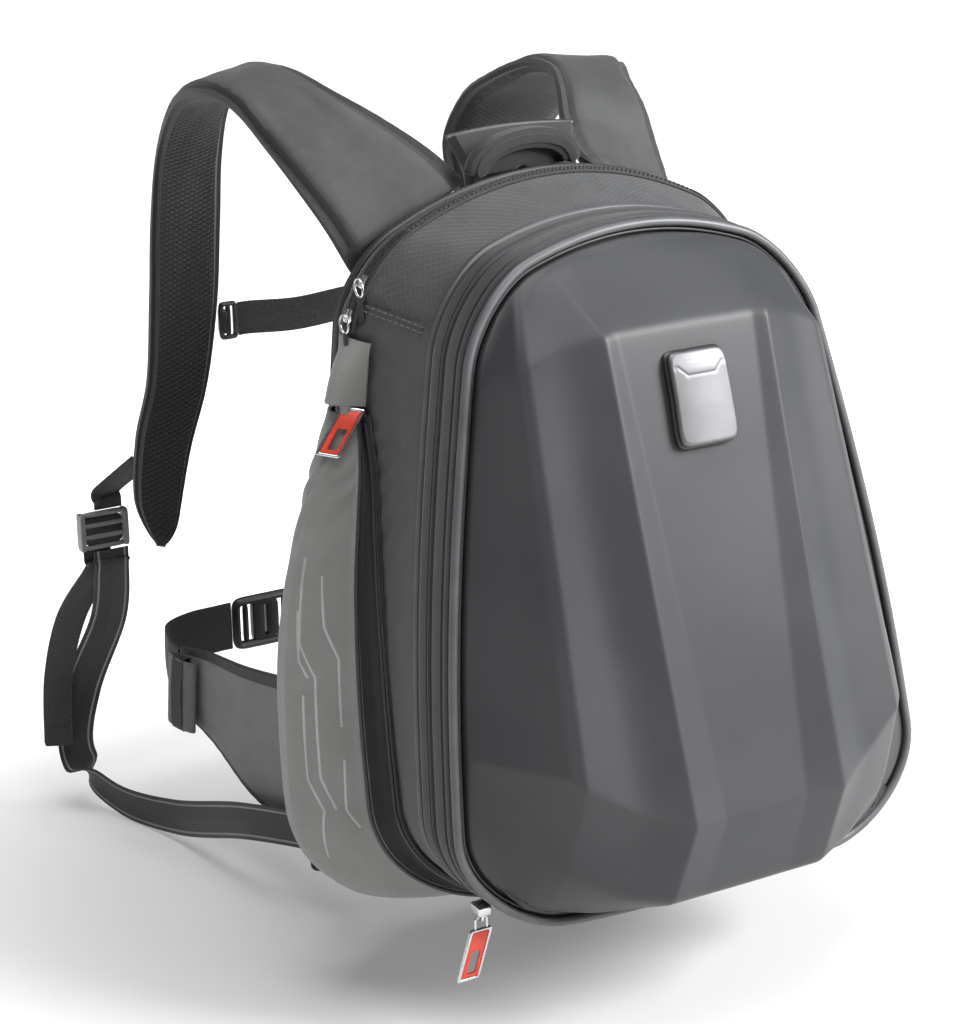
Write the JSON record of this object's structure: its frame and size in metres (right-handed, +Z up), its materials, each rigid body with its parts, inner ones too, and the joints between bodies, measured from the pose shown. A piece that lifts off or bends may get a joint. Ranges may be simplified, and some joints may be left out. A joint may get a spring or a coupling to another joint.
{
  "type": "hard shell backpack",
  "caption": "Hard shell backpack with a ridged moulded shell, zip gusset, soft body with side pockets, padded shoulder straps and a hip belt, for carrying loads on the back.",
  "frame": {"origin": "centre of the back panel's rear face, which lies against the wearer's back", "axes": "+Z up, +Y from the pack towards the wearer, +X towards the wearer's right"},
  "size_m": [0.52, 0.5999, 0.5957],
  "materials": {
    "shell_plastic": "satin moulded plastic with a fine grain",
    "body_fabric": "woven ripstop and smooth coated fabric",
    "pocket_fabric": "embossed coated fabric, warm grey",
    "dark_fabric": "padded dark fabric",
    "mesh_lining": "black spacer mesh",
    "webbing": "woven flat webbing",
    "buckle_plastic": "satin black plastic",
    "piping_rubber": "satin grey piping",
    "badge_metal": "satin silver",
    "dark_chrome": "dark chrome",
    "pull_red": "orange-red rubber"
  },
  "bodies": {
    "pack": {"adjust_webbing_l": "webbing", "adjust_webbing_r": "webbing", "back_panel": "mesh_lining", "back_seam_piping": "piping_rubber", "badge_base": "buckle_plastic", "badge_plate": "badge_metal", "base_skid": "dark_fabric", "body_wall": "body_fabric", "expansion_gusset": "dark_fabric", "front_zip_slider": "dark_chrome", "grab_handle": "dark_fabric", "gusset_piping": "piping_rubber", "hard_shell": "shell_plastic", "harness_yoke": "dark_fabric", "hip_buckle": "buckle_plastic", "hip_webbing_l": "webbing", "hip_webbing_r": "webbing", "hip_wing_l": "pocket_fabric", "hip_wing_r": "pocket_fabric", "ladder_lock_l": "buckle_plastic", "ladder_lock_r": "buckle_plastic", "lower_tab_l": "dark_fabric", "lower_tab_r": "dark_fabric", "main_zip": "webbing", "main_zip_slider_1": "dark_chrome", "main_zip_slider_2": "dark_chrome", "pocket_hood_l": "pocket_fabric", "pocket_hood_r": "pocket_fabric", "rim_welt": "piping_rubber", "shoulder_strap_l": "dark_fabric", "shoulder_strap_r": "dark_fabric", "side_pocket_l": "pocket_fabric", "side_pocket_r": "pocket_fabric", "side_pull_l_frame": "dark_chrome", "side_pull_l_insert": "pull_red", "side_pull_r_frame": "dark_chrome", "side_pull_r_insert": "pull_red", "sternum_adjuster_l": "buckle_plastic", "sternum_adjuster_r": "buckle_plastic", "sternum_buckle": "buckle_plastic", "sternum_webbing_l": "webbing", "sternum_webbing_r": "webbing", "strap_tab_l": "webbing", "strap_tab_r": "webbing", "webbing_bundle_l": "webbing", "webbing_bundle_r": "webbing", "webbing_tail_l": "webbing", "webbing_tail_r": "webbing"},
    "front_pull": {"front_pull_link": "dark_chrome", "front_pull_frame": "dark_chrome", "front_pull_insert": "pull_red"}
  },
  "joints": [
    {"name": "front_pull_swing", "type": "hinge", "parent": "pack", "child": "front_pull", "pos_m": [-0.156, -0.17886, -0.20371], "axis": [1, 0, 0], "range_deg": [-60, 50]}
  ]
}
